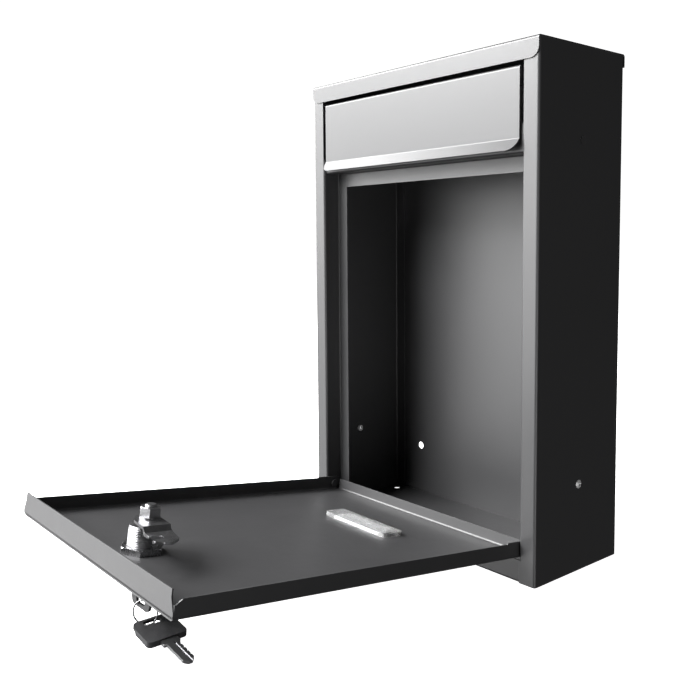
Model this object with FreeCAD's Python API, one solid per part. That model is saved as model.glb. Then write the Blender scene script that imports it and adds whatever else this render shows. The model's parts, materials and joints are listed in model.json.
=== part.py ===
import FreeCAD, Part
import math
import os

# Wall-mounted steel book drop box, millimetres.
# Workshop frame: X across the front from the left side, Y back from the front of the stiles,
# Z up from the underside. Everything is moved at the end so the middle of the wall holes is the origin.

WIDTH = 260.0            # across the side walls
DEPTH = 107.0            # front of the stiles to the wall
HEIGHT = 400.0           # underside to the top of the cap
SHEET = 1.0              # sheet thickness
BEND = 1.2               # inside radius of the folds

STILE = 14.5             # width of the front stiles where the jamb is folded back
STILE_TOP = 13.5         # width of the stiles beside the flap, a plain cut edge
JAMB_TOP = 332.0         # height where the folded jamb starts
JAMB_DEPTH = 17.7        # front of the stiles to the face the door shuts against
JAMB_STOP = 26.0         # inner edge of the stop flange
SIDE_DEPTH = 106.0       # side walls stop one sheet short of the wall
BACK_RETURN = 12.0       # fold that carries the back panel

CAP_FRONT = 15.4         # drop of the cap at the front
CAP_BACK = 10.0          # drop of the cap at the back
CAP_CORNER = 7.5         # rounded lower corners of the cap

RAIL_HEIGHT = 17.4       # front lip of the bottom pan
DRAIN_R = 3.2            # drain holes near the back corners
DRAIN_IN = 10.0          # drain hole centres from the side walls and from the back returns

HEADER_FACE = 2.5        # front face of the header behind the stiles
HEADER_UNDER = 319.0     # underside of the header
HEADER_TOP = 340.0       # top edge of the header
HEADER_STOP = 307.0      # lower edge of the header stop flange

WALL_HOLE_R = 3.5        # wall fixing holes
WALL_SPACING_X = 190.0
WALL_SPACING_Z = 304.0

SIDE_FIX_Y = 53.0        # rivets and plugs in the side walls
SIDE_RIVET_Z = 68.5
SIDE_PLUG_Z = 330.0
SIDE_HOLE_R = 2.4

FLAP_LEFT = 17.5         # flap, closed
FLAP_BOTTOM = 329.4
FLAP_TOP = 381.8
FLAP_LIP_OUT = 6.0       # the finger lip leans out this far
FLAP_LIP_DOWN = 8.5
FLAP_LIP_CORNER = 8.5
FLAP_HEM = 7.0           # stiffening fold along the top
FLAP_PIVOT_Y = 8.0
FLAP_PIVOT_Z = 377.0
PIN_R = 2.0
RUNNING = 0.06           # radial clearance of the turning fits

DOOR_WIDTH = 229.4       # door tray
DOOR_FACE = 0.5          # outer face behind the front of the stiles when shut
DOOR_BOTTOM = 17.86      # lower edge when shut
DOOR_LENGTH = 300.3
DOOR_SIDE = 12.0         # depth of the side flanges
DOOR_EAR = 12.9          # depth of the side flanges at the pivots
DOOR_EAR_LENGTH = 26.0
DOOR_END = 17.0          # depth of the flange at the top of the shut door
DOOR_FOOT = 10.5         # depth of the flange at the bottom of the shut door
DOOR_BEND = 2.0
DOOR_OPEN = 82.24        # degrees from shut to resting on the front lip
PIVOT_Y = 7.04
PIVOT_Z = 24.14

LOCK_X = 129.4           # lock barrel
LOCK_S = 261.5           # barrel centre above the lower edge of the door
BARREL_R = 10.0
BARREL_FLATS = 17.0
BARREL_END = 18.5
BEZEL_R = 12.0
BEZEL_T = 2.5
LOCK_NUT_AF = 26.0
LOCK_NUT_T = 4.0
PLUG_X = 131.9           # plug axis, off the middle of the barrel
PLUG_S = 259.2
PLUG_R = 4.7
PLUG_END = 21.8
TANG = 7.0
STUD_R = 3.9
STUD_END = 32.8
CAM_T = 1.8
CAM_DROP = 3.3
CAM_NUT_AF = 13.0
CAM_NUT_T = 6.5
CAM_WASHER_T = 1.0

KEY_BOW_L = 28.0         # key heads and blades
KEY_BOW_W = 28.0
KEY_BOW_T = 4.0
KEY_TAB_T = 2.0
KEY_BLADE_L = 28.5
KEY_BLADE_W = 8.0
KEY_BLADE_T = 2.2
KEY_HOLE_IN = 5.0        # hole centre from the end of the key head
KEY_HOLE_DEPTH = 31.0    # hole of the inserted key in front of the door face
RING_R = 8.5
RING_WIRE = 0.8
RING_DROP = 0.2          # the ring hangs low in the key hole
RING_TURN = 40.0         # heading of the ring plane from the width of the box
RING_LEAN = 15.0         # the ring is pulled over by the spare key
SPARE_PITCH = 7.0        # degrees the spare key points down
SPARE_RIGHT = 7.3        # hole of the spare key from the hole of the inserted key
SPARE_BACK = 3.4
SPARE_BELOW = 14.0

HOLDER_X = (94.5, 166.5)
HOLDER_S = (58.5, 78.0)
HOLDER_T = 3.6
HOLDER_WALL = 1.0
INSERT_X = (104.5, 158.5)

X = FreeCAD.Vector(1, 0, 0)
Y = FreeCAD.Vector(0, 1, 0)
Z = FreeCAD.Vector(0, 0, 1)


def vec(x, y, z):
    return FreeCAD.Vector(x, y, z)


def block(x0, x1, y0, y1, z0, z1):
    return Part.makeBox(x1 - x0, y1 - y0, z1 - z0, vec(x0, y0, z0))


def rod(radius, start, axis, length):
    return Part.makeCylinder(radius, length, start, axis)


def fuse(shapes):
    joined = shapes[0]
    for shape in shapes[1:]:
        joined = joined.fuse(shape)
    return joined.removeSplitter()


def outline(corners, place):
    """Closed wire through corners (u, v, radius), each rounded by its radius."""
    points = []
    count = len(corners)
    for index in range(count):
        u, v, radius = corners[index]
        here = FreeCAD.Vector(u, v, 0)
        before = FreeCAD.Vector(*corners[index - 1][:2], 0)
        after = FreeCAD.Vector(*corners[(index + 1) % count][:2], 0)
        if radius <= 0:
            points.append((here, None, here))
            continue
        back = (before - here).normalize()
        ahead = (after - here).normalize()
        half = back.getAngle(ahead) / 2
        middle = (back + ahead).normalize()
        centre = here + middle * (radius / math.sin(half))
        reach = radius / math.tan(half)
        points.append((here + back * reach, centre - middle * radius, here + ahead * reach))
    edges = []
    for index in range(count):
        start, crown, end = points[index]
        if crown is not None:
            edges.append(Part.Arc(place(start), place(crown), place(end)).toShape())
        following = points[(index + 1) % count][0]
        if end.distanceToPoint(following) > 1e-6:
            edges.append(Part.makeLine(place(end), place(following)))
    return Part.Wire(edges)


def in_xy(p):
    return vec(p.x, p.y, 0)


def in_yz(p):
    return vec(0, p.x, p.y)


def in_xz(p):
    return vec(p.x, 0, p.y)


def plate(corners, place, start, thickness):
    """Flat plate: an outline laid at start and thickened along a vector."""
    face = Part.Face(outline(corners, place))
    face.translate(start)
    return face.extrude(thickness)


def folded(path, place, start, run, bend=BEND):
    """Folded sheet: path is the outer surface, the metal lies to its right, run is the extrusion."""
    count = len(path)
    heads = []
    for index in range(count - 1):
        step = FreeCAD.Vector(path[index + 1][0] - path[index][0], path[index + 1][1] - path[index][1], 0)
        heads.append(step.normalize())
    front = []
    rear = []
    for index in range(count):
        here = FreeCAD.Vector(path[index][0], path[index][1], 0)
        if index == 0 or index == count - 1:
            head = heads[0] if index == 0 else heads[-1]
            right = FreeCAD.Vector(head.y, -head.x, 0)
            inner = here + right * SHEET
            front.append((here.x, here.y, 0))
            rear.append((inner.x, inner.y, 0))
            continue
        first = heads[index - 1]
        second = heads[index]
        turn = first.x * second.y - first.y * second.x
        right_a = FreeCAD.Vector(first.y, -first.x, 0)
        right_b = FreeCAD.Vector(second.y, -second.x, 0)
        middle = (right_a + right_b).normalize()
        inner = here + middle * (SHEET / middle.dot(right_a))
        outside = bend + SHEET
        front.append((here.x, here.y, bend if turn > 0 else outside))
        rear.append((inner.x, inner.y, outside if turn > 0 else bend))
    return plate(front + rear[::-1], place, start, run)


def mirrored(shape):
    return shape.mirror(vec(WIDTH / 2, 0, 0), X)


def hexagon(across, length, start, axis):
    corners = []
    for index in range(6):
        angle = math.radians(60 * index + 30)
        corners.append((across / math.sqrt(3) * math.cos(angle), across / math.sqrt(3) * math.sin(angle), 0))
    return plate(corners, in_xz, start, axis * length)


def door_point(x, s, h):
    """Point on the shut door: s up from its lower edge, h in from its outer face."""
    return vec(x, DOOR_FACE + h, DOOR_BOTTOM + s)


# ---- housing ----

def side_left():
    wall = [(0, 0), (0, SIDE_DEPTH), (BACK_RETURN, SIDE_DEPTH)]
    jamb = [(JAMB_STOP, JAMB_DEPTH), (STILE, JAMB_DEPTH), (STILE, 0)]
    top = HEIGHT - SHEET - 0.1
    parts = [
        folded([(STILE, 0)] + wall, in_xy, vec(0, 0, 0), Z * RAIL_HEIGHT),
        folded(jamb + wall, in_xy, vec(0, 0, RAIL_HEIGHT), Z * (JAMB_TOP - RAIL_HEIGHT)),
        folded([(STILE_TOP, 0)] + wall, in_xy, vec(0, 0, JAMB_TOP), Z * (top - JAMB_TOP)),
    ]
    side = fuse(parts)
    for z in (SIDE_RIVET_Z, SIDE_PLUG_Z):
        side = side.cut(rod(SIDE_HOLE_R, vec(-1, SIDE_FIX_Y, z), X, 4))
    side = side.cut(rod(PIN_R, vec(10, PIVOT_Y, PIVOT_Z), X, 6))
    return side


def back_panel():
    inset = 3.0
    top = HEIGHT - CAP_BACK - 0.05
    corners = [(inset, 0, 1), (WIDTH - inset, 0, 1), (WIDTH - inset, top, 1), (inset, top, 1)]
    panel = plate(corners, in_xz, vec(0, SIDE_DEPTH, 0), Y * SHEET)
    for side in (-1, 1):
        for level in (-1, 1):
            x = WIDTH / 2 + side * WALL_SPACING_X / 2
            z = HEIGHT / 2 + level * WALL_SPACING_Z / 2
            panel = panel.cut(rod(WALL_HOLE_R, vec(x, SIDE_DEPTH - 1, z), Y, 3))
    return panel


def bottom_pan():
    rear = SIDE_DEPTH - 0.05
    lip = folded([(rear, 0), (0, 0), (0, RAIL_HEIGHT)], in_yz, vec(STILE + 0.02, 0, 0),
                 X * (WIDTH - 2 * STILE - 0.04))
    floor = block(SHEET, WIDTH - SHEET, BEND + SHEET + 0.3, SIDE_DEPTH - SHEET, 0, SHEET)
    pan = fuse([lip, floor])
    for x in (SHEET + DRAIN_IN, WIDTH - SHEET - DRAIN_IN):
        pan = pan.cut(rod(DRAIN_R, vec(x, SIDE_DEPTH - SHEET - DRAIN_IN, -1), Z, 3))
    return pan


def header_rail():
    path = [(JAMB_DEPTH, HEADER_UNDER), (HEADER_FACE, HEADER_UNDER), (HEADER_FACE, HEADER_TOP)]
    rail = folded(path, in_yz, vec(STILE + 0.1, 0, 0), X * (WIDTH - 2 * STILE - 0.2))
    stop_path = [(JAMB_DEPTH, HEADER_STOP), (JAMB_DEPTH, HEADER_UNDER), (HEADER_FACE + 5, HEADER_UNDER)]
    stop = folded(stop_path, in_yz, vec(JAMB_STOP + 0.1, 0, 0), X * (WIDTH - 2 * JAMB_STOP - 0.2))
    return fuse([rail, stop])


def top_cap():
    back = DEPTH
    path = [(-SHEET, HEIGHT - CAP_FRONT), (-SHEET, HEIGHT), (back, HEIGHT), (back, HEIGHT - CAP_BACK)]
    cap = folded(path, in_yz, vec(0, 0, 0), X * WIDTH)
    low = HEIGHT - CAP_FRONT
    corners = [e for e in cap.Edges if abs(e.CenterOfMass.z - low) < 0.01 and abs(e.Length - SHEET) < 0.01]
    return cap.makeFillet(CAP_CORNER, corners)


def door_rivets():
    shank = rod(PIN_R, vec(12.4, PIVOT_Y, PIVOT_Z), X, 4.6)
    buried = rod(3.4, vec(11.9, PIVOT_Y, PIVOT_Z), X, STILE - SHEET - 11.9)
    inner = rod(3.4, vec(16.7, PIVOT_Y, PIVOT_Z), X, 1.2)
    left = fuse([shank, buried, inner])
    return Part.makeCompound([left, mirrored(left)])


def side_rivets():
    head = Part.makeSphere(5.2, vec(3.6, SIDE_FIX_Y, SIDE_RIVET_Z))
    head = head.common(rod(3.3, vec(-1.6, SIDE_FIX_Y, SIDE_RIVET_Z), X, 1.6))
    body = rod(SIDE_HOLE_R - 0.03, vec(-0.2, SIDE_FIX_Y, SIDE_RIVET_Z), X, 3.1)
    tail = rod(2.9, vec(SHEET, SIDE_FIX_Y, SIDE_RIVET_Z), X, 1.9)
    left = fuse([head, body, tail]).cut(rod(1.0, vec(-3, SIDE_FIX_Y, SIDE_RIVET_Z), X, 8))
    return Part.makeCompound([left, mirrored(left)])


def side_plugs():
    head = rod(3.1, vec(-0.7, SIDE_FIX_Y, SIDE_PLUG_Z), X, 0.7)
    body = rod(SIDE_HOLE_R - 0.03, vec(-0.2, SIDE_FIX_Y, SIDE_PLUG_Z), X, 2.8)
    left = fuse([head, body])
    return Part.makeCompound([left, mirrored(left)])


def flap_brackets():
    foot = block(SHEET + BEND + 0.2, STILE_TOP - SHEET, SHEET, 2 * SHEET, 352, 383)
    corners = [(SHEET, 366, 0), (14.0, 366, 3), (14.0, 383, 3), (SHEET, 383, 0)]
    cheek = plate(corners, in_yz, vec(STILE_TOP - 1.2, 0, 0), X * 1.2)
    left = fuse([foot, cheek])
    left = left.cut(rod(PIN_R, vec(8, FLAP_PIVOT_Y, FLAP_PIVOT_Z), X, 10))
    return Part.makeCompound([left, mirrored(left)])


def flap_pins():
    shank = rod(PIN_R, vec(11.4, FLAP_PIVOT_Y, FLAP_PIVOT_Z), X, 8.6)
    buried = rod(3.0, vec(10.9, FLAP_PIVOT_Y, FLAP_PIVOT_Z), X, STILE_TOP - 1.2 - 10.9)
    shoulder = rod(2.8, vec(STILE_TOP, FLAP_PIVOT_Y, FLAP_PIVOT_Z), X, FLAP_LEFT - STILE_TOP - 0.5)
    end = rod(2.8, vec(FLAP_LEFT + SHEET + 0.5, FLAP_PIVOT_Y, FLAP_PIVOT_Z), X, 1.2)
    left = fuse([shank, buried, shoulder, end])
    return Part.makeCompound([left, mirrored(left)])


# ---- flap ----

def flap():
    span = X * (WIDTH - 2 * FLAP_LEFT)
    lip_end = (-FLAP_LIP_OUT, FLAP_BOTTOM - FLAP_LIP_DOWN)
    path = [lip_end, (0, FLAP_BOTTOM), (0, FLAP_TOP), (FLAP_HEM, FLAP_TOP)]
    panel = folded(path, in_yz, vec(FLAP_LEFT, 0, 0), span)
    slope = math.hypot(FLAP_LIP_OUT, FLAP_LIP_DOWN)
    tips = []
    for edge in panel.Edges:
        low = edge.CenterOfMass.z < FLAP_BOTTOM - FLAP_LIP_DOWN + SHEET
        if low and abs(edge.Length - SHEET) < 0.01 and edge.CenterOfMass.y < -slope / 4:
            tips.append(edge)
    panel = panel.makeFillet(FLAP_LIP_CORNER, tips)
    ear = [(0.4, 367.5, 0), (13.0, 367.5, 4), (13.0, FLAP_TOP, 3), (0.4, FLAP_TOP - 1.5, 0)]
    left = plate(ear, in_yz, vec(FLAP_LEFT, 0, 0), X * SHEET)
    right = plate(ear, in_yz, vec(WIDTH - FLAP_LEFT - SHEET, 0, 0), X * SHEET)
    whole = fuse([panel, left, right])
    bore = rod(PIN_R + RUNNING, vec(FLAP_LEFT - 3, FLAP_PIVOT_Y, FLAP_PIVOT_Z), X, 8)
    return whole.cut(bore).cut(mirrored(bore))


# ---- door, drawn shut ----

def door_tray():
    left = (WIDTH - DOOR_WIDTH) / 2
    right = left + DOOR_WIDTH
    low = DOOR_BOTTOM
    high = DOOR_BOTTOM + DOOR_LENGTH
    face = DOOR_FACE
    side = folded([(left, face + DOOR_SIDE), (left, face), (right, face), (right, face + DOOR_SIDE)][::-1],
                  in_xy, vec(0, 0, low + 0.6), Z * (DOOR_LENGTH - 1.2), DOOR_BEND)
    inner = [(face + DOOR_END, high), (face, high), (face, low), (face + DOOR_FOOT, low)]
    middle = folded(inner[::-1], in_yz, vec(left + 3.2, 0, 0), X * (DOOR_WIDTH - 6.4), DOOR_BEND)
    end = door_end(left, right, high)
    foot = door_flange(left + SHEET + 0.4, right - SHEET - 0.4, low, DOOR_FOOT, 6.0, 5.5)
    ear_top = face + DOOR_EAR
    ear = [(face + 4, low + 0.8, 0), (ear_top, low + 0.8, 2.5), (ear_top, low + DOOR_EAR_LENGTH, 1.5),
           (face + 4, low + DOOR_EAR_LENGTH + 4, 0)]
    ear_left = plate(ear, in_yz, vec(left, 0, 0), X * SHEET)
    ear_right = plate(ear, in_yz, vec(right - SHEET, 0, 0), X * SHEET)
    tray = fuse([side, middle, end, foot, ear_left, ear_right])
    chamfer = [(face + 9.0, high + 1, 0), (face + DOOR_SIDE + 2, high + 1, 0),
               (face + DOOR_SIDE + 2, high - 5.4, 0), (face + DOOR_SIDE - 0.4, high - 5.4, 0),
               (face + 9.0, high - SHEET - 0.4, 0)]
    for x in (left - 0.5, right - SHEET - 0.5):
        tray = tray.cut(plate(chamfer, in_yz, vec(x, 0, 0), X * (SHEET + 1)).cut(end))
    pivot = rod(PIN_R + RUNNING, vec(left - 2, PIVOT_Y, PIVOT_Z), X, 6)
    tray = tray.cut(pivot).cut(mirrored(pivot))
    barrel = rod(BARREL_R + 0.1, door_point(LOCK_X, LOCK_S, -2), Y, 6)
    flats = BARREL_FLATS / 2 + 0.1
    centre = door_point(LOCK_X, LOCK_S, 0)
    window = barrel.common(block(centre.x - 20, centre.x + 20, -5, 10, centre.z - flats, centre.z + flats))
    return tray.cut(window)


def door_end(x0, x1, high):
    """Flange along the top of the shut door with its bend, tapering towards its free edge."""
    face = DOOR_FACE
    tip = face + DOOR_END
    path = [(face, high - 4.5), (face, high), (tip, high)]
    strip = folded(path, in_yz, vec(x0, 0, 0), X * (x1 - x0), DOOR_BEND)
    outside = DOOR_BEND + SHEET
    shape = [(x0, face, outside), (x1, face, outside), (x1, face + 4.5, 0), (x1 - 5.0, tip, 2.5),
             (x0 + 5.0, tip, 2.5), (x0, face + 4.5, 0)]
    return strip.common(plate(shape, in_xy, vec(0, 0, high - 6), Z * 7))


def door_flange(x0, x1, z, depth, run, rise):
    """Flange across the door whose free corners are cut off by run x rise."""
    face = DOOR_FACE
    low = face + DOOR_BEND + SHEET
    corners = [(x0, low, 0), (x1, low, 0), (x1, face + depth - rise, 2), (x1 - run, face + depth, 2),
               (x0 + run, face + depth, 2), (x0, face + depth - rise, 2)]
    return plate(corners, in_xy, vec(0, 0, z), Z * SHEET)


def lock_barrel():
    body = rod(BARREL_R, door_point(LOCK_X, LOCK_S, 0), Y, BARREL_END)
    centre = door_point(LOCK_X, LOCK_S, 0)
    flats = BARREL_FLATS / 2
    slab = block(centre.x - 20, centre.x + 20, centre.y - 1, centre.y + BARREL_END - 2.4,
                 centre.z - flats, centre.z + flats)
    collar = rod(BARREL_R - 0.4, door_point(LOCK_X, LOCK_S, BARREL_END - 2.4), Y, 2.4)
    body = fuse([body.common(slab), collar])
    bezel = Part.makeCone(BEZEL_R - 0.8, BEZEL_R, BEZEL_T, door_point(LOCK_X, LOCK_S, -BEZEL_T), Y)
    barrel = fuse([body, bezel])
    bore = rod(PLUG_R + RUNNING, door_point(PLUG_X, PLUG_S, -5), Y, 40)
    rim = rod(PLUG_R + 1.2 + RUNNING, door_point(PLUG_X, PLUG_S, -5), Y, 5 - BEZEL_T + 1.6)
    return barrel.cut(bore).cut(rim)


def lock_nut():
    start = door_point(LOCK_X, LOCK_S, SHEET)
    nut = hexagon(LOCK_NUT_AF, LOCK_NUT_T, start, Y)
    corner = LOCK_NUT_AF / math.sqrt(3)
    crown = Part.makeCone(corner + 3.1, corner - 0.9, LOCK_NUT_T, start, Y)
    nut = nut.common(crown)
    return nut.cut(rod(BARREL_R + 0.02, door_point(LOCK_X, LOCK_S, 0), Y, 10))


def lock_plug():
    front = rod(PLUG_R + 1.2, door_point(PLUG_X, PLUG_S, -BEZEL_T), Y, 1.2)
    body = rod(PLUG_R, door_point(PLUG_X, PLUG_S, -BEZEL_T), Y, PLUG_END + BEZEL_T)
    tang = tang_shape(TANG, PLUG_END, CAM_T)
    stud = rod(STUD_R, door_point(PLUG_X, PLUG_S, PLUG_END + CAM_T), Y, STUD_END - PLUG_END - CAM_T)
    plug = fuse([front, body, tang, stud])
    edges = [e for e in plug.Edges if abs(e.CenterOfMass.y - DOOR_FACE - STUD_END) < 0.01]
    plug = plug.makeChamfer(0.8, edges)
    spot = door_point(PLUG_X, PLUG_S, 0)
    half_w = KEY_BLADE_W / 2 + 0.15
    half_t = KEY_BLADE_T / 2 + 0.15
    keyway = block(spot.x - half_w, spot.x + half_w, spot.y - 5, spot.y + KEY_BOW_L - KEY_HOLE_IN - 2.0,
                   spot.z - half_t, spot.z + half_t)
    return plug.cut(keyway)


def tang_shape(width, start, length):
    spot = door_point(PLUG_X, PLUG_S, start)
    half = width / 2
    square = block(spot.x - half, spot.x + half, spot.y, spot.y + length, spot.z - half, spot.z + half)
    return square.common(rod(width * 0.6, spot, Y, length))


def cam():
    axis = door_point(PLUG_X, PLUG_S, PLUG_END)
    upper = [(-7.5, -4.5, 3), (-4, -7.5, 3), (19.4, -5.6, 0), (19.4, 14.2, 0), (2, 12.4, 4), (-7.5, 6, 3)]
    lower = [(19.4, -5.6, 0), (38.7, -1.2, 2), (45.0, 6.6, 3), (44.0, 12.5, 3), (40.2, 16.4, 1.6),
             (36.4, 16.4, 1.6), (35.8, 7.2, 1.4), (30.0, 7.2, 1.4), (29.4, 15.0, 1.5), (19.4, 14.2, 0)]
    top = plate(upper, in_xz, axis, Y * CAM_T)
    foot = plate(lower, in_xz, axis - Y * CAM_DROP, Y * CAM_T)
    joggle = [(17.2, 0, 0), (17.2, CAM_T, 0), (18.6, CAM_T, 0), (21.4, CAM_T - CAM_DROP, 0),
              (22.6, CAM_T - CAM_DROP, 0), (22.6, -CAM_DROP, 0), (20.2, -CAM_DROP, 0), (17.6, 0, 0)]
    web = plate(joggle, in_xy, vec(axis.x, axis.y, axis.z - 5.2), Z * 19.2)
    keep_top = block(axis.x - 20, axis.x + 18.4, axis.y - 9, axis.y + 9, axis.z - 20, axis.z + 30)
    keep_foot = block(axis.x + 20.6, axis.x + 60, axis.y - 9, axis.y + 9, axis.z - 20, axis.z + 30)
    body = fuse([top.common(keep_top), foot.common(keep_foot), web])
    return body.cut(tang_shape(TANG + 0.1, PLUG_END - 5, 12))


def cam_washer():
    start = door_point(PLUG_X, PLUG_S, PLUG_END + CAM_T)
    return rod(6.8, start, Y, CAM_WASHER_T).cut(rod(STUD_R + 0.2, start - Y, Y, 5))


def cam_nut():
    start = door_point(PLUG_X, PLUG_S, PLUG_END + CAM_T + CAM_WASHER_T)
    nut = hexagon(CAM_NUT_AF, CAM_NUT_T, start, Y)
    corner = CAM_NUT_AF / math.sqrt(3)
    crown = Part.makeCone(corner + 5.7, corner - 0.8, CAM_NUT_T, start, Y)
    return nut.common(crown).cut(rod(STUD_R + 0.02, start - Y, Y, 20))


def key_blade():
    """Key blade about the middle of the key hole: length along X, width along Y, thickness along Z."""
    root = KEY_BOW_L - KEY_HOLE_IN
    tip = root + KEY_BLADE_L
    half = KEY_BLADE_W / 2
    shoulder = 6.0
    corners = [(root - 9, -shoulder + 1, 0), (root + 5.3, -shoulder, 1), (root + 5.3, -half, 0.3),
               (tip - 3, -half, 1), (tip, -half + 2.6, 0.6), (tip, half - 2.6, 0.6), (tip - 3, half, 1),
               (root + 5.3, half, 0.3), (root + 5.3, shoulder, 1), (root - 9, shoulder - 1, 0)]
    blade = plate(corners, in_xy, vec(0, 0, -KEY_BLADE_T / 2), Z * KEY_BLADE_T)
    groove = block(root + 6, tip + 1, 0.4, 1.6, KEY_BLADE_T / 2 - 0.5, KEY_BLADE_T)
    bites = [block(root + 8.5 + 4.2 * n, root + 10.0 + 4.2 * n, half - 0.6 - 0.3 * (n % 3), half + 1, -5, 5)
             for n in range(4)]
    for cutter in [groove] + bites:
        blade = blade.cut(cutter)
    return blade


def key_bow():
    """Moulded key head about the middle of its hole, thinner around the hole."""
    end = -KEY_HOLE_IN
    root = KEY_BOW_L - KEY_HOLE_IN
    half = KEY_BOW_W / 2
    corners = [(end, -half + 2, 5), (end + 10, -half, 8), (root, -half, 3), (root, half, 3),
               (end + 10, half, 8), (end, half - 2, 5)]
    bow = plate(corners, in_xy, vec(0, 0, -KEY_BOW_T / 2), Z * KEY_BOW_T)
    for z0, z1 in ((KEY_TAB_T / 2, 5), (-5, -KEY_TAB_T / 2)):
        bow = bow.cut(block(end - 1, 4.0, -half - 1, half + 1, z0, z1))
    slot = [(-2.5, -6.2, 2.4), (2.5, -6.2, 2.4), (2.5, 6.2, 2.4), (-2.5, 6.2, 2.4)]
    bow = bow.cut(plate(slot, in_xy, vec(0, 0, -5), Z * 10))
    return bow.cut(key_blade())


def inserted(shape):
    """Put a key drawn about its hole into the plug, blade pointing into the door."""
    turned = shape.copy()
    turned.rotate(vec(0, 0, 0), Z, 90)
    turned.rotate(vec(0, 0, 0), Y, 180)
    turned.translate(door_point(PLUG_X, PLUG_S, -KEY_HOLE_DEPTH))
    return turned


def opened(shape):
    """Swing a piece drawn on the shut door out to where the door rests."""
    turned = shape.copy()
    turned.rotate(vec(0, PIVOT_Y, PIVOT_Z), X, DOOR_OPEN)
    return turned


def key_hole():
    """Middle of the hole of the inserted key with the door open."""
    return opened(Part.Vertex(door_point(PLUG_X, PLUG_S, -KEY_HOLE_DEPTH))).Point


def key_ring():
    turn = math.radians(RING_TURN)
    lean = math.radians(RING_LEAN)
    heading = vec(math.cos(turn), math.sin(turn), 0)
    centre = key_hole() - Z * RING_DROP + (heading * math.sin(lean) - Z * math.cos(lean)) * RING_R
    return Part.makeTorus(RING_R, RING_WIRE, centre, heading.cross(Z))


def spare(shape):
    """Hang a key drawn about its hole on the ring."""
    hung = shape.copy()
    hung.rotate(vec(0, 0, 0), Y, SPARE_PITCH)
    hung.translate(key_hole() + vec(SPARE_RIGHT, SPARE_BACK, -SPARE_BELOW))
    return hung


def holder_shell():
    low = DOOR_BOTTOM + HOLDER_S[0]
    high = DOOR_BOTTOM + HOLDER_S[1]
    inside = DOOR_FACE + SHEET
    corners = [(HOLDER_X[0], low, 1.5), (HOLDER_X[1], low, 1.5), (HOLDER_X[1], high, 1.5),
               (HOLDER_X[0], high, 1.5)]
    shell = plate(corners, in_xz, vec(0, inside, 0), Y * HOLDER_T)
    wall = HOLDER_WALL
    hollow = block(HOLDER_X[0] + wall, HOLDER_X[1] - wall, inside - 1, inside + HOLDER_T - wall,
                   low + wall, high - wall)
    return shell.cut(hollow)


def holder_insert():
    inside = DOOR_FACE + SHEET
    low = DOOR_BOTTOM + HOLDER_S[0] + HOLDER_WALL + 0.4
    high = DOOR_BOTTOM + HOLDER_S[1] - HOLDER_WALL - 0.4
    return block(INSERT_X[0], INSERT_X[1], inside, inside + 1.6, low, high)


def write(name, shape):
    placed = shape.copy()
    placed.translate(vec(-WIDTH / 2, -DEPTH, -HEIGHT / 2))
    placed.exportStep("parts/" + name + ".step")


os.makedirs("parts", exist_ok=True)

cap = top_cap()
left_side = side_left().cut(cap)
right_side = mirrored(left_side)
write("side_left", left_side)
write("side_right", right_side)
write("back_panel", back_panel())
write("bottom_pan", bottom_pan().cut(left_side).cut(right_side))
write("header_rail", header_rail().cut(left_side).cut(right_side))
write("top_cap", cap)
write("door_rivets", door_rivets())
write("side_rivets", side_rivets())
write("side_plugs", side_plugs())
write("flap_brackets", flap_brackets())
write("flap_pins", flap_pins())
write("flap", flap())
write("door_tray", opened(door_tray()))
write("lock_barrel", opened(lock_barrel()))
write("lock_nut", opened(lock_nut()))
write("lock_plug", opened(lock_plug()))
write("cam", opened(cam()))
write("cam_washer", opened(cam_washer()))
write("cam_nut", opened(cam_nut()))
write("key_blade", opened(inserted(key_blade())))
write("key_bow", opened(inserted(key_bow())))
write("key_ring", key_ring())
write("spare_key_blade", spare(key_blade()))
write("spare_key_bow", spare(key_bow()))
write("holder_shell", opened(holder_shell()))
write("holder_insert", opened(holder_insert()))
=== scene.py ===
import json
import math

import bmesh
import bpy
from mathutils import Matrix, Vector


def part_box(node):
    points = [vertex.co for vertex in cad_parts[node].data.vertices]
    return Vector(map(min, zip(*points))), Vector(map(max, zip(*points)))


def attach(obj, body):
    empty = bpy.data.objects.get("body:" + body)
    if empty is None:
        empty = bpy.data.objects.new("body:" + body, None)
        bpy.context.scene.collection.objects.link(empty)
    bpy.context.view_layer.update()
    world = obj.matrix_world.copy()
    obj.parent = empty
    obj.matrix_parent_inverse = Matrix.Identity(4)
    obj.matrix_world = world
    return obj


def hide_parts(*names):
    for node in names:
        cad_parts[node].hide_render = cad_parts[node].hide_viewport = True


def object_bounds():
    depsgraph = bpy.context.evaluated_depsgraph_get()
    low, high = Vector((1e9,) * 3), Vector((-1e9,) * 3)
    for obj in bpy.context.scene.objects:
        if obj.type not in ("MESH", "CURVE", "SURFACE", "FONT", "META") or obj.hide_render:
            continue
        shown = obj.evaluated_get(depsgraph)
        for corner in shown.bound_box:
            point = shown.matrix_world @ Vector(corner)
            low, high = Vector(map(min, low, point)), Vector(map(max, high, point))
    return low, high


bl_info = {
    "name": "Book Drop Box",
    "version": (1, 0, 0),
    "blender": (4, 5, 0),
    "location": "3D View > Sidebar > Drop Box",
    "description": "Finishes, key ring, threads and studio for a wall-hung book drop box",
    "category": "Object",
}

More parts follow.
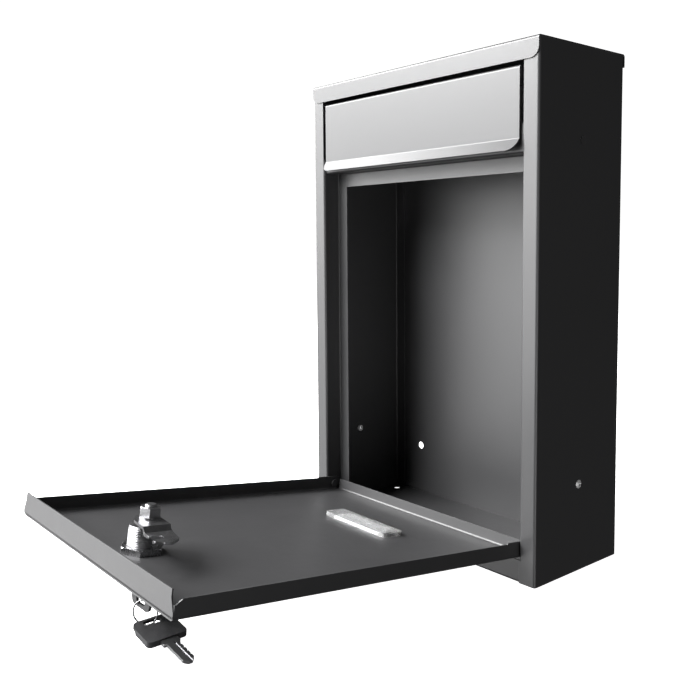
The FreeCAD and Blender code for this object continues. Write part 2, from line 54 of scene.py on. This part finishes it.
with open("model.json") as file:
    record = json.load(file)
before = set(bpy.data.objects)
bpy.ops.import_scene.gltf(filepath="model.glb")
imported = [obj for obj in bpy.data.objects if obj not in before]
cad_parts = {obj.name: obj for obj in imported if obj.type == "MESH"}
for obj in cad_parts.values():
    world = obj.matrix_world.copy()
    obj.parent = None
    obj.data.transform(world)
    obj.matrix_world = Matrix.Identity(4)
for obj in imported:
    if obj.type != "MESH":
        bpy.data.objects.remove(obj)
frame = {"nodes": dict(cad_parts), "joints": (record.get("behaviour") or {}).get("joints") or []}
START_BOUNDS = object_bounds()
NODES = frame["nodes"]
JOINTS = {joint["name"]: joint for joint in frame["joints"]}

COATED = ("side_left", "side_right", "back_panel", "bottom_pan", "header_rail", "top_cap", "flap_brackets",
          "flap", "flap_pins", "door_tray", "door_rivets", "side_plugs")
ROUNDED_SHEETS = ("top_cap", "flap", "door_tray", "header_rail", "bottom_pan")
CAM_PARTS = ("cam", "cam_washer", "cam_nut")

SENSOR_WIDTH = 36.0                         # millimetres
CAMERA_PLACE = (0.4975, -0.5885, 0.0562)
CAMERA_TURN = (85.655, 0.417, 50.093)       # degrees
CAMERA_SHIFT = (-0.0004, -0.0657)           # parts of the sensor width

WHITE = (1.0, 1.0, 1.0)
PALE = (0.9, 0.9, 0.9)
FLOOR_SIZE = 40.0
FLOOR_GAP = 0.0005                          # floor below the lowest point of the box
FLOOR_GLOW = 1.15
BACKDROP_GLOW = 1.1                         # seen by the camera only

RIPPLE = 0.16                               # broad ripples of the coat to each of its dimples
EDGE_REACH = 0.0009                         # width of the rubbed band along the edges
EDGE_BEND = (0.035, 0.15)                   # how far a surface bends where the rubbing starts and is full
RUB_LIGHTER = 0.8
RUB_SMOOTHER = 0.06
THREAD_DEPTH = 0.12                         # depth of the thread in parts of its pitch
EVEN = (1.0, 1.0, 1.0)                      # brushed lines without a direction
CAM_BRUSHED = (1.0, 8.0, 8.0)               # lines along X
KEY_BRUSHED = (1.0, 6.0, 1.0)

BEVEL_SEGMENTS = 2
BEVEL_ANGLE = math.radians(50)
WELD_DISTANCE = 0.00001
LOCK_ROUND = 0.0002                         # rounding of the cam and the two nuts
HEAD_ROUND = 0.0004                         # rounding of the key heads
BLADE_ROUND = 0.00012
HOLDER_ROUND = 0.0003

RING_SECTION = 0.0008                       # radius of the plain ring's round section
RING_TURNS = 1.92
RING_STEPS = 120
RING_FLAT = 1.7                             # the wire is this much wider than thick
RING_SPREAD = 1.06                          # pitch of the winding in parts of the wire
RING_SEGMENTS = 12
RING_MERGE = 0.000001

# Soft lights on a dome round the box:
# name, group, degrees left of the front, degrees up, width and height in metres, watts.
LIGHT_TARGET = Vector((0.0, -0.2, -0.05))
LIGHT_DISTANCE = 2.2
LIGHTS = (
    ("low right", "low", -70.0, -12.0, 1.15, 0.95, 18.0),
    ("low front", "low", 20.0, -12.0, 1.15, 0.95, 20.0),
    ("low left", "low", 50.0, -12.0, 1.15, 0.95, 12.0),
    ("front", "level", 20.0, 12.0, 1.15, 0.95, 27.0),
    ("front left", "level", 50.0, 12.0, 1.15, 0.95, 20.0),
    ("left", "level", 80.0, 12.0, 1.15, 0.95, 25.0),
    ("small left", "level", 65.0, 18.0, 0.35, 0.35, 2.0),
    ("small front left", "level", 45.0, 22.0, 0.4, 0.4, 9.0),
    ("high front", "high", 20.0, 38.0, 1.5, 1.0, 135.0),
    ("high left", "high", 60.0, 38.0, 1.5, 1.0, 110.0),
)


# ---- settings ----

class DropBoxSettings(bpy.types.PropertyGroup):
    coat_color: bpy.props.FloatVectorProperty(
        name="Coat colour", description="Colour of the powder coat", subtype="COLOR", size=3,
        min=0.0, max=1.0, default=(0.03, 0.03, 0.031))
    coat_roughness: bpy.props.FloatProperty(
        name="Coat roughness", description="How matt the powder coat is", subtype="FACTOR",
        min=0.05, max=1.0, default=0.4)
    coat_grain: bpy.props.FloatProperty(
        name="Coat grain", description="Size of the dimples in the powder coat", unit="LENGTH",
        min=0.0002, max=0.01, default=0.0009, precision=5)
    metal_color: bpy.props.FloatVectorProperty(
        name="Plating colour", description="Colour of the nickel and zinc plating", subtype="COLOR", size=3,
        min=0.0, max=1.0, default=(0.36, 0.36, 0.37))
    plastic_color: bpy.props.FloatVectorProperty(
        name="Key head colour", description="Colour of the moulded key heads", subtype="COLOR", size=3,
        min=0.0, max=1.0, default=(0.018, 0.018, 0.019))
    edge_round: bpy.props.FloatProperty(
        name="Edge rounding", description="Rounding of the cut edges of the sheet", unit="LENGTH",
        min=0.0, max=0.0004, default=0.00018, precision=5)
    thread_pitch: bpy.props.FloatProperty(
        name="Thread pitch", description="Spacing of the thread ridges on the lock", unit="LENGTH",
        min=0.0004, max=0.003, default=0.0011, precision=5)
    ring_wire: bpy.props.FloatProperty(
        name="Ring wire", description="Thickness of one turn of the key ring", unit="LENGTH",
        min=0.0003, max=0.0007, default=0.00066, precision=5)
    lens: bpy.props.FloatProperty(
        name="Lens", description="Focal length of the camera", unit="CAMERA",
        min=20.0, max=120.0, default=42.544)
    low_lights: bpy.props.FloatProperty(
        name="Low lights", description="Strength of the lights just below the box", subtype="FACTOR",
        min=0.0, max=5.0, default=1.0)
    level_lights: bpy.props.FloatProperty(
        name="Level lights", description="Strength of the lights level with the box", subtype="FACTOR",
        min=0.0, max=5.0, default=1.0)
    high_lights: bpy.props.FloatProperty(
        name="High lights", description="Strength of the two large lights high at the front left",
        subtype="FACTOR", min=0.0, max=5.0, default=1.0)
    room_light: bpy.props.FloatProperty(
        name="Room light", description="Strength of the even light from all round", subtype="FACTOR",
        min=0.0, max=1.0, default=0.05)


def settings():
    return bpy.context.scene.drop_box


# ---- material building ----

class Shader:
    """A principled material with the object's own coordinates to hand."""

    def __init__(self, name, color, roughness, metallic=0.0):
        self.material = bpy.data.materials.new(name)
        self.material.use_nodes = True
        self.tree = self.material.node_tree
        self.surface = self.tree.nodes["Principled BSDF"]
        self.surface.inputs["Base Color"].default_value = (*color, 1.0)
        self.surface.inputs["Roughness"].default_value = roughness
        self.surface.inputs["Metallic"].default_value = metallic
        self.place = self.tree.nodes.new("ShaderNodeTexCoord").outputs["Object"]

    def link(self, source, target):
        self.tree.links.new(source, target)

    def feed(self, name, source):
        """Drive an input of the surface."""
        self.link(source, self.surface.inputs[name])

    def stretch(self, scale):
        """Coordinates packed closer along each axis by a scale."""
        mapping = self.tree.nodes.new("ShaderNodeMapping")
        mapping.inputs["Scale"].default_value = scale
        self.link(self.place, mapping.inputs["Vector"])
        return mapping.outputs["Vector"]

    def noise(self, scale, detail, roughness, place=None):
        """Random pattern with about scale features to the metre."""
        pattern = self.tree.nodes.new("ShaderNodeTexNoise")
        pattern.inputs["Scale"].default_value = scale
        pattern.inputs["Detail"].default_value = detail
        pattern.inputs["Roughness"].default_value = roughness
        self.link(place or self.place, pattern.inputs["Vector"])
        return pattern.outputs["Fac"]

    def span(self, source, given, wanted):
        """Carry values from one range (low, high) to another."""
        change = self.tree.nodes.new("ShaderNodeMapRange")
        change.inputs["From Min"].default_value = given[0]
        change.inputs["From Max"].default_value = given[1]
        change.inputs["To Min"].default_value = wanted[0]
        change.inputs["To Max"].default_value = wanted[1]
        self.link(source, change.inputs["Value"])
        return change.outputs["Result"]

    def mix(self, factor, first, second):
        """Blend of two colours."""
        blend = self.tree.nodes.new("ShaderNodeMix")
        blend.data_type = "RGBA"
        blend.inputs["A"].default_value = (*first, 1.0)
        blend.inputs["B"].default_value = (*second, 1.0)
        self.link(factor, blend.inputs["Factor"])
        return blend.outputs["Result"]

    def mottle(self, factor, color, first, second):
        """Blend the base colour between two shades of a colour."""
        self.feed("Base Color", self.mix(factor, shade(color, first), shade(color, second)))

    def combine(self, operation, first, second=None):
        """Result of a sum on sockets or plain numbers."""
        step = self.tree.nodes.new("ShaderNodeMath")
        step.operation = operation
        for value, target in zip((first, second), step.inputs):
            if isinstance(value, float):
                target.default_value = value
            elif value is not None:
                self.link(value, target)
        return step.outputs[0]

    def dot(self, first):
        """Dot product node with its first vector linked."""
        product = self.tree.nodes.new("ShaderNodeVectorMath")
        product.operation = "DOT_PRODUCT"
        self.link(first, product.inputs[0])
        return product

    def along(self, axis):
        """Distance from the object's origin along an axis."""
        product = self.dot(self.place)
        product.inputs[1].default_value = axis
        return product.outputs["Value"]

    def edges(self, radius, bend):
        """One on the edges of the shape, fading to zero on its flat faces."""
        bevel = self.tree.nodes.new("ShaderNodeBevel")
        bevel.samples = 4
        bevel.inputs["Radius"].default_value = radius
        geometry = self.tree.nodes.new("ShaderNodeNewGeometry")
        product = self.dot(bevel.outputs["Normal"])
        self.link(geometry.outputs["Normal"], product.inputs[1])
        return self.span(self.combine("SUBTRACT", 1.0, product.outputs["Value"]), bend, (0.0, 1.0))

    def bump(self, heights):
        """Chain (height socket, distance in metres) pairs into the surface normal."""
        normal = None
        for height, distance in heights:
            relief = self.tree.nodes.new("ShaderNodeBump")
            relief.inputs["Distance"].default_value = distance
            relief.inputs["Strength"].default_value = 1.0
            self.link(height, relief.inputs["Height"])
            if normal is not None:
                self.link(normal, relief.inputs["Normal"])
            normal = relief.outputs["Normal"]
        self.feed("Normal", normal)


def shade(color, factor):
    """A lighter or darker shade of a colour."""
    return tuple(min(1.0, channel * factor) for channel in color)


def coat_material():
    """Satin powder coat: fine dimples, smudges, specks of dust, fine scuffs and edges rubbed lighter."""
    wanted = settings()
    base = wanted.coat_roughness
    shader = Shader("powder coat", wanted.coat_color, base)
    broad = shader.noise(scale=7.0, detail=4.0, roughness=0.6)
    smudge = shader.noise(scale=38.0, detail=5.0, roughness=0.65)
    grain = shader.noise(scale=1.0 / wanted.coat_grain, detail=2.0, roughness=0.5)
    ripple = shader.noise(scale=RIPPLE / wanted.coat_grain, detail=2.0, roughness=0.4)
    specks = shader.noise(scale=900.0, detail=4.0, roughness=0.7)
    scuffs = shader.noise(scale=60.0, detail=6.0, roughness=0.7, place=shader.stretch((9.0, 1.0, 0.6)))
    dust = shader.span(specks, (0.68, 0.8), (0.0, 0.5))
    worn = shader.combine("MULTIPLY", shader.edges(EDGE_REACH, EDGE_BEND),
                          shader.span(smudge, (0.35, 0.6), (0.2, 1.0)))
    marks = shader.combine("ADD", dust, shader.combine("MULTIPLY", worn, RUB_LIGHTER))
    shader.mottle(marks, wanted.coat_color, 1.0, 2.6)
    rough = shader.combine("ADD", shader.span(broad, (0.3, 0.7), (base - 0.03, base + 0.03)),
                           shader.span(smudge, (0.35, 0.75), (-0.015, 0.03)))
    rough = shader.combine("ADD", rough, shader.span(scuffs, (0.62, 0.75), (0.0, 0.06)))
    smoother = shader.combine("MULTIPLY", worn, RUB_SMOOTHER)
    shader.feed("Roughness", shader.combine("SUBTRACT", rough, smoother))
    shader.bump([(grain, 0.000012), (ripple, 0.00002)])
    shader.surface.inputs["IOR"].default_value = 1.5
    return shader.material


def plated_material(name, roughness, brushed):
    """Nickel or zinc plating with stains and fine lines, packed closer along each axis by brushed."""
    wanted = settings()
    shader = Shader(name, wanted.metal_color, roughness, metallic=1.0)
    stains = shader.noise(scale=160.0, detail=4.0, roughness=0.6)
    lines = shader.noise(scale=900.0, detail=3.0, roughness=0.6, place=shader.stretch(brushed))
    shader.mottle(shader.span(stains, (0.35, 0.75), (0.0, 1.0)), wanted.metal_color, 1.05, 0.78)
    shader.feed("Roughness", shader.span(lines, (0.3, 0.7), (roughness - 0.05, roughness + 0.1)))
    shader.bump([(lines, 0.000006), (stains, 0.00001)])
    return shader.material


def lock_material():
    """Plating with fine ridges of thread stacked along the lock axis."""
    wanted = settings()
    shader = Shader("lock plating", wanted.metal_color, 0.3, metallic=1.0)
    stains = shader.noise(scale=160.0, detail=4.0, roughness=0.6)
    height = shader.along(Vector(JOINTS["lock_turn"]["axis"]))
    ridges = shader.combine("SINE", shader.combine("MULTIPLY", height, math.tau / wanted.thread_pitch))
    shader.mottle(shader.span(stains, (0.4, 0.75), (0.0, 1.0)), wanted.metal_color, 1.05, 0.75)
    shader.feed("Roughness", shader.span(stains, (0.3, 0.7), (0.24, 0.4)))
    shader.bump([(stains, 0.000012), (ridges, wanted.thread_pitch * THREAD_DEPTH)])
    return shader.material


def rivet_material():
    """Dull aluminium, rough enough to catch light from everywhere."""
    shader = Shader("rivet aluminium", (0.8, 0.8, 0.8), 0.5, metallic=0.55)
    dents = shader.noise(scale=900.0, detail=4.0, roughness=0.6)
    shader.mottle(dents, (0.88, 0.88, 0.88), 1.0, 0.75)
    shader.feed("Roughness", shader.span(dents, (0.3, 0.7), (0.4, 0.6)))
    shader.bump([(dents, 0.00002)])
    return shader.material


def plastic_material():
    """Moulded plastic with open pores, rubbed lighter and duller in patches."""
    wanted = settings()
    shader = Shader("key head plastic", wanted.plastic_color, 0.42)
    shader.surface.inputs["Specular IOR Level"].default_value = 0.35
    pores = shader.noise(scale=1500.0, detail=3.0, roughness=0.7)
    rubbed = shader.noise(scale=240.0, detail=4.0, roughness=0.6)
    shader.mottle(shader.span(rubbed, (0.4, 0.7), (0.0, 1.0)), wanted.plastic_color, 1.0, 1.5)
    shader.feed("Roughness", shader.span(rubbed, (0.3, 0.7), (0.42, 0.6)))
    shader.bump([(pores, 0.00015), (rubbed, 0.00012)])
    return shader.material


def clear_material():
    """Clear moulded plastic, cloudier where it is scuffed."""
    shader = Shader("clear plastic", (0.98, 0.985, 0.99), 0.05)
    shader.surface.inputs["IOR"].default_value = 1.47
    scuffs = shader.noise(scale=420.0, detail=4.0, roughness=0.65)
    shader.feed("Transmission Weight", shader.span(scuffs, (0.4, 0.75), (0.96, 0.8)))
    shader.feed("Roughness", shader.span(scuffs, (0.45, 0.75), (0.03, 0.16)))
    shader.bump([(scuffs, 0.00001)])
    return shader.material


def card_material():
    """Plain white card with a fine fibre."""
    shader = Shader("white card", (0.86, 0.86, 0.86), 0.65)
    fibre = shader.noise(scale=1400.0, detail=4.0, roughness=0.6)
    shader.mottle(fibre, (0.8, 0.8, 0.8), 1.0, 1.125)
    shader.bump([(fibre, 0.00003)])
    return shader.material


def dress(names, material):
    """Give CAD pieces their finish."""
    for name in names:
        NODES[name].data.materials.clear()
        NODES[name].data.materials.append(material)


def soften(names, width):
    """Round the cut edges without touching the meshes themselves."""
    for name in names:
        weld = NODES[name].modifiers.new("join seams", "WELD")
        weld.merge_threshold = WELD_DISTANCE
        bevel = NODES[name].modifiers.new("soft edges", "BEVEL")
        bevel.width = width
        bevel.segments = BEVEL_SEGMENTS
        bevel.limit_method = "ANGLE"
        bevel.angle_limit = BEVEL_ANGLE
        even = NODES[name].modifiers.new("even normals", "WEIGHTED_NORMAL")
        even.keep_sharp = True


def piece(name, bm, body, material):
    """Visible piece from a bmesh, riding on a body of the frame."""
    for face in bm.faces:
        face.smooth = True
    bmesh.ops.recalc_face_normals(bm, faces=bm.faces)
    mesh = bpy.data.meshes.new(name)
    bm.to_mesh(mesh)
    bm.free()
    mesh.materials.append(material)
    made = bpy.data.objects.new(name, mesh)
    bpy.context.scene.collection.objects.link(made)
    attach(made, body)
    return made


# ---- operators ----

class DROPBOX_OT_studio(bpy.types.Operator):
    """Camera, pale floor and soft studio lights"""

    bl_idname = "dropbox.studio"
    bl_label = "Studio"

    def execute(self, context):
        wanted = settings()
        self.camera(context, wanted.lens)
        self.floor(context)
        strengths = {"low": wanted.low_lights, "level": wanted.level_lights, "high": wanted.high_lights}
        for name, group, left, up, width, height, power in LIGHTS:
            turn = math.radians(left)
            rise = math.radians(up)
            level = math.cos(rise)
            toward = Vector((-level * math.sin(turn), -level * math.cos(turn), math.sin(rise)))
            place = LIGHT_TARGET + toward * LIGHT_DISTANCE
            self.light(context, name, place, width, height, power * strengths[group])
        self.world(context, wanted.room_light)
        return {"FINISHED"}

    def camera(self, context, lens):
        data = bpy.data.cameras.new("camera")
        data.lens = lens
        data.sensor_width = SENSOR_WIDTH
        data.shift_x, data.shift_y = CAMERA_SHIFT
        data.clip_start = 0.01
        camera = bpy.data.objects.new("camera", data)
        camera.location = CAMERA_PLACE
        camera.rotation_euler = [math.radians(angle) for angle in CAMERA_TURN]
        context.scene.collection.objects.link(camera)
        context.scene.camera = camera

    def floor(self, context):
        """Glowing white floor that only the camera sees."""
        bm = bmesh.new()
        bmesh.ops.create_grid(bm, x_segments=1, y_segments=1, size=FLOOR_SIZE)
        bmesh.ops.translate(bm, verts=bm.verts, vec=(0.0, 0.0, START_BOUNDS[0][2] - FLOOR_GAP))
        mesh = bpy.data.meshes.new("floor")
        bm.to_mesh(mesh)
        bm.free()
        shader = Shader("pale floor", PALE, 0.9)
        shader.surface.inputs["Emission Color"].default_value = (*WHITE, 1.0)
        shader.surface.inputs["Emission Strength"].default_value = FLOOR_GLOW
        shader.surface.inputs["Specular IOR Level"].default_value = 0.0
        mesh.materials.append(shader.material)
        floor = bpy.data.objects.new("floor", mesh)
        floor.visible_glossy = False
        floor.visible_diffuse = False
        floor.visible_shadow = False
        context.scene.collection.objects.link(floor)

    def light(self, context, name, place, width, height, power):
        """Soft light turned to the middle of the box, hidden from the camera."""
        data = bpy.data.lights.new(name, "AREA")
        data.shape = "RECTANGLE"
        data.size = width
        data.size_y = height
        data.energy = power
        light = bpy.data.objects.new(name, data)
        light.location = place
        light.rotation_euler = (LIGHT_TARGET - place).to_track_quat("-Z", "Y").to_euler()
        light.visible_camera = False
        context.scene.collection.objects.link(light)

    def world(self, context, strength):
        """Dim light from all round with a brighter backdrop for the camera."""
        world = bpy.data.worlds.new("studio")
        world.use_nodes = True
        tree = world.node_tree
        dim = tree.nodes["Background"]
        dim.inputs["Color"].default_value = (*PALE, 1.0)
        dim.inputs["Strength"].default_value = strength
        bright = tree.nodes.new("ShaderNodeBackground")
        bright.inputs["Color"].default_value = (*WHITE, 1.0)
        bright.inputs["Strength"].default_value = BACKDROP_GLOW
        path = tree.nodes.new("ShaderNodeLightPath")
        pick = tree.nodes.new("ShaderNodeMixShader")
        tree.links.new(path.outputs["Is Camera Ray"], pick.inputs["Fac"])
        tree.links.new(dim.outputs["Background"], pick.inputs[1])
        tree.links.new(bright.outputs["Background"], pick.inputs[2])
        tree.links.new(pick.outputs["Shader"], tree.nodes["World Output"].inputs["Surface"])
        context.scene.world = world
        context.scene.view_settings.view_transform = "Standard"


class DROPBOX_OT_sheet_metal(bpy.types.Operator):
    """Powder coat on the housing, flap, door and their fixings"""

    bl_idname = "dropbox.sheet_metal"
    bl_label = "Sheet metal"

    def execute(self, context):
        dress(COATED, coat_material())
        soften(ROUNDED_SHEETS, settings().edge_round)
        return {"FINISHED"}


class DROPBOX_OT_fixings(bpy.types.Operator):
    """Bright rivets in the side walls"""

    bl_idname = "dropbox.fixings"
    bl_label = "Fixings"

    def execute(self, context):
        dress(("side_rivets",), rivet_material())
        return {"FINISHED"}


class DROPBOX_OT_lock(bpy.types.Operator):
    """Plated lock barrel, nut, plug and cam"""

    bl_idname = "dropbox.lock"
    bl_label = "Lock"

    def execute(self, context):
        dress(("lock_barrel", "lock_plug"), lock_material())
        dress(("lock_nut",), plated_material("nut plating", 0.26, EVEN))
        dress(CAM_PARTS, plated_material("cam plating", 0.28, CAM_BRUSHED))
        soften(("cam", "lock_nut", "cam_nut"), LOCK_ROUND)
        return {"FINISHED"}


class DROPBOX_OT_keys(bpy.types.Operator):
    """Both keys: plated blades in moulded heads"""

    bl_idname = "dropbox.keys"
    bl_label = "Keys"

    def execute(self, context):
        dress(("key_blade", "spare_key_blade"), plated_material("key plating", 0.34, KEY_BRUSHED))
        dress(("key_bow", "spare_key_bow"), plastic_material())
        soften(("key_bow", "spare_key_bow"), HEAD_ROUND)
        soften(("key_blade", "spare_key_blade"), BLADE_ROUND)
        return {"FINISHED"}


class DROPBOX_OT_key_ring(bpy.types.Operator):
    """Split ring of twice-wound wire in place of the plain ring"""

    bl_idname = "dropbox.key_ring"
    bl_label = "Key ring"

    def execute(self, context):
        low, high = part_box("key_ring")
        middle = (low + high) / 2
        half = (high - low) / 2
        radius = half.z - RING_SECTION
        wire = settings().ring_wire
        up = Vector((0.0, 0.0, 1.0))
        heading = Vector((half.x - RING_SECTION, half.y - RING_SECTION, 0.0)).normalized()
        normal = heading.cross(up)
        spread = normal * wire * RING_SPREAD
        bm = bmesh.new()
        bmesh.ops.create_circle(bm, cap_ends=True, segments=RING_SEGMENTS, radius=wire * 0.5)
        bmesh.ops.scale(bm, vec=(RING_FLAT, 1.0, 1.0), verts=bm.verts)
        stand = Matrix((heading, normal, up)).transposed().to_4x4()
        bmesh.ops.transform(bm, matrix=stand, verts=bm.verts)
        bmesh.ops.translate(bm, vec=middle + heading * radius - spread / 2, verts=bm.verts)
        bmesh.ops.spin(bm, geom=bm.verts[:] + bm.edges[:] + bm.faces[:], cent=middle, axis=normal,
                       dvec=spread / RING_STEPS, angle=math.tau * RING_TURNS, steps=RING_STEPS,
                       use_merge=False, use_normal_flip=False, use_duplicate=False)
        bmesh.ops.remove_doubles(bm, verts=bm.verts, dist=RING_MERGE)
        ring = piece("split_ring", bm, "ring", plated_material("ring wire", 0.22, EVEN))
        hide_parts("key_ring")
        return {"FINISHED"}


class DROPBOX_OT_holder(bpy.types.Operator):
    """Clear holder on the door with its blank card"""

    bl_idname = "dropbox.holder"
    bl_label = "Holder"

    def execute(self, context):
        dress(("holder_shell",), clear_material())
        dress(("holder_insert",), card_material())
        soften(("holder_shell",), HOLDER_ROUND)
        return {"FINISHED"}


class DROPBOX_PT_panel(bpy.types.Panel):
    bl_label = "Drop Box"
    bl_idname = "DROPBOX_PT_panel"
    bl_space_type = "VIEW_3D"
    bl_region_type = "UI"
    bl_category = "Drop Box"

    def draw(self, context):
        for name in DropBoxSettings.__annotations__:
            self.layout.prop(context.scene.drop_box, name)
        for operator in OPERATORS:
            self.layout.operator(operator.bl_idname)


OPERATORS = (DROPBOX_OT_studio, DROPBOX_OT_sheet_metal, DROPBOX_OT_fixings, DROPBOX_OT_lock, DROPBOX_OT_keys,
             DROPBOX_OT_key_ring, DROPBOX_OT_holder)
CLASSES = (DropBoxSettings, *OPERATORS, DROPBOX_PT_panel)


def register():
    for cls in CLASSES:
        bpy.utils.register_class(cls)
    bpy.types.Scene.drop_box = bpy.props.PointerProperty(type=DropBoxSettings)


def unregister():
    del bpy.types.Scene.drop_box
    for cls in reversed(CLASSES):
        bpy.utils.unregister_class(cls)


def main():
    register()
    bpy.ops.dropbox.studio()
    bpy.ops.dropbox.sheet_metal()
    bpy.ops.dropbox.fixings()
    bpy.ops.dropbox.lock()
    bpy.ops.dropbox.keys()
    bpy.ops.dropbox.key_ring()
    bpy.ops.dropbox.holder()


if __name__ == "__main__":
    main()
